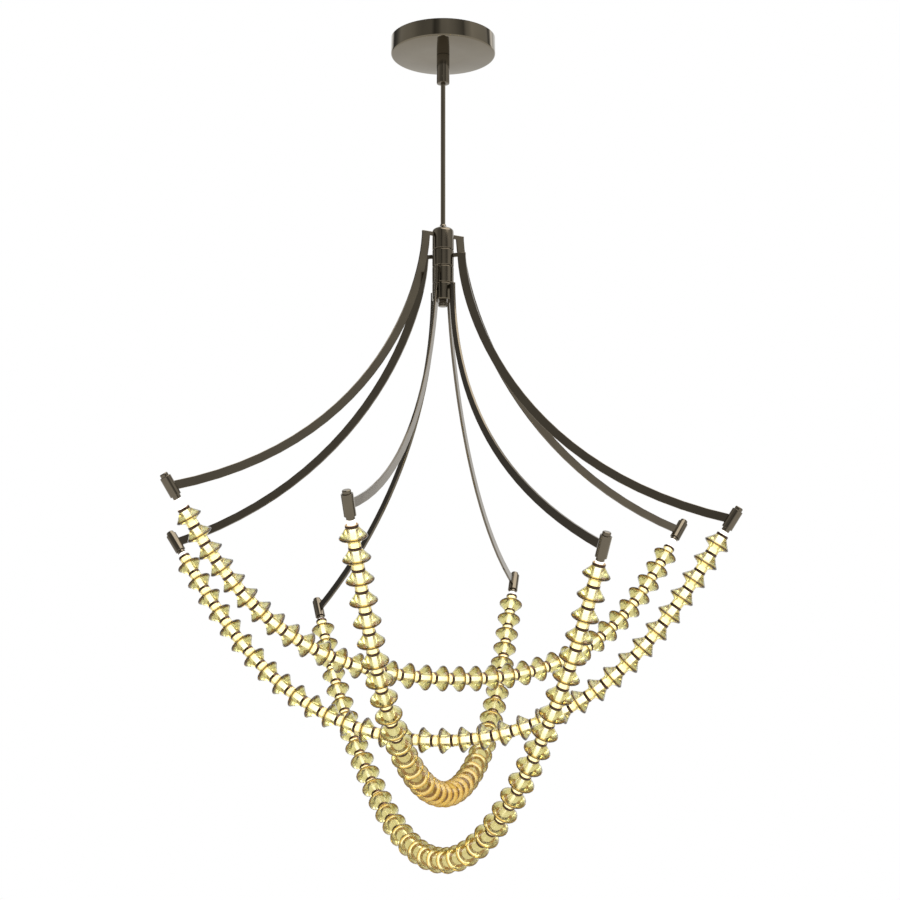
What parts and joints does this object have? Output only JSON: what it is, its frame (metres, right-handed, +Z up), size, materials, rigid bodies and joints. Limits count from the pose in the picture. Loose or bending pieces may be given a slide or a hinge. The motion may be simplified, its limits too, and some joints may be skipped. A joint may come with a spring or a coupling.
{
  "type": "beaded chandelier",
  "caption": "Ceiling-hung chandelier with swept flat-bar arms on a stacked turning hub and sagging strings of flared glass beads on glowing tubes.",
  "frame": {"origin": "centre of the ceiling plate's top face, on the ceiling and on the stem's axis", "axes": "+Z up, out of the ceiling face; +X to the viewer's right; -Y towards the viewer"},
  "size_m": [0.7374, 0.7354, 1.0966],
  "materials": {
    "dark_bronze": "dark bronze plate, semi-gloss",
    "zinc_steel": "zinc plated",
    "olive_glass": "clear olive-amber glass with dark bronze spacer rings",
    "glowing_tube": "frosted silicone, lit warm white",
    "driver_case": "moulded case",
    "terminal_plastic": "moulded block"
  },
  "bodies": {
    "fixture": {"ceiling_plate": "zinc_steel", "hanging_nipple": "zinc_steel", "lock_nut": "zinc_steel", "stem_coupling": "zinc_steel", "light_driver": "driver_case", "terminal_block": "terminal_plastic", "stem_rod": "dark_bronze", "hub_core": "zinc_steel", "hub_washer": "dark_bronze"},
    "canopy": {"canopy_cover": "dark_bronze", "canopy_collar": "dark_bronze", "collar_grub_screw": "dark_bronze"},
    "finial": {"finial_nut": "dark_bronze"},
    "tier_1": {"hub_ring_1": "dark_bronze", "bead_string_1": "olive_glass", "light_tube_1": "glowing_tube", "arm_1a": "dark_bronze", "arm_sleeve_1a": "dark_bronze", "sleeve_plug_1a": "dark_bronze", "arm_1b": "dark_bronze", "arm_sleeve_1b": "dark_bronze", "sleeve_plug_1b": "dark_bronze"},
    "tier_2": {"hub_ring_2": "dark_bronze", "bead_string_2": "olive_glass", "light_tube_2": "glowing_tube", "arm_2a": "dark_bronze", "arm_sleeve_2a": "dark_bronze", "sleeve_plug_2a": "dark_bronze", "arm_2b": "dark_bronze", "arm_sleeve_2b": "dark_bronze", "sleeve_plug_2b": "dark_bronze"},
    "tier_3": {"hub_ring_3": "dark_bronze", "bead_string_3": "olive_glass", "light_tube_3": "glowing_tube", "arm_3a": "dark_bronze", "arm_sleeve_3a": "dark_bronze", "sleeve_plug_3a": "dark_bronze", "arm_3b": "dark_bronze", "arm_sleeve_3b": "dark_bronze", "sleeve_plug_3b": "dark_bronze"},
    "tier_4": {"hub_ring_4": "dark_bronze", "bead_string_4": "olive_glass", "light_tube_4": "glowing_tube", "arm_4a": "dark_bronze", "arm_sleeve_4a": "dark_bronze", "sleeve_plug_4a": "dark_bronze", "arm_4b": "dark_bronze", "arm_sleeve_4b": "dark_bronze", "sleeve_plug_4b": "dark_bronze"}
  },
  "joints": [
    {"name": "canopy_slide", "type": "slide", "parent": "fixture", "child": "canopy", "axis": [0, 0, 1], "range_m": [-0.19, 0]},
    {"name": "fan_turn", "type": "hinge", "parent": "fixture", "child": "tier_1", "pos_m": [0, 0, 0], "axis": [0, 0, 1], "continuous": true},
    {"name": "fan_out_2", "type": "hinge", "parent": "tier_1", "child": "tier_2", "pos_m": [0, 0, 0], "axis": [0, 0, -1], "range_deg": [-33, 11]},
    {"name": "fan_out_3", "type": "hinge", "parent": "tier_1", "child": "tier_3", "pos_m": [0, 0, 0], "axis": [0, 0, 1], "range_deg": [-33, 11]},
    {"name": "fan_out_4", "type": "hinge", "parent": "tier_2", "child": "tier_4", "pos_m": [0, 0, 0], "axis": [0, 0, -1], "range_deg": [-33, 11]},
    {"name": "finial_turn", "type": "hinge", "parent": "fixture", "child": "finial", "pos_m": [0, 0, 0], "axis": [0, 0, 1], "continuous": true}
  ]
}
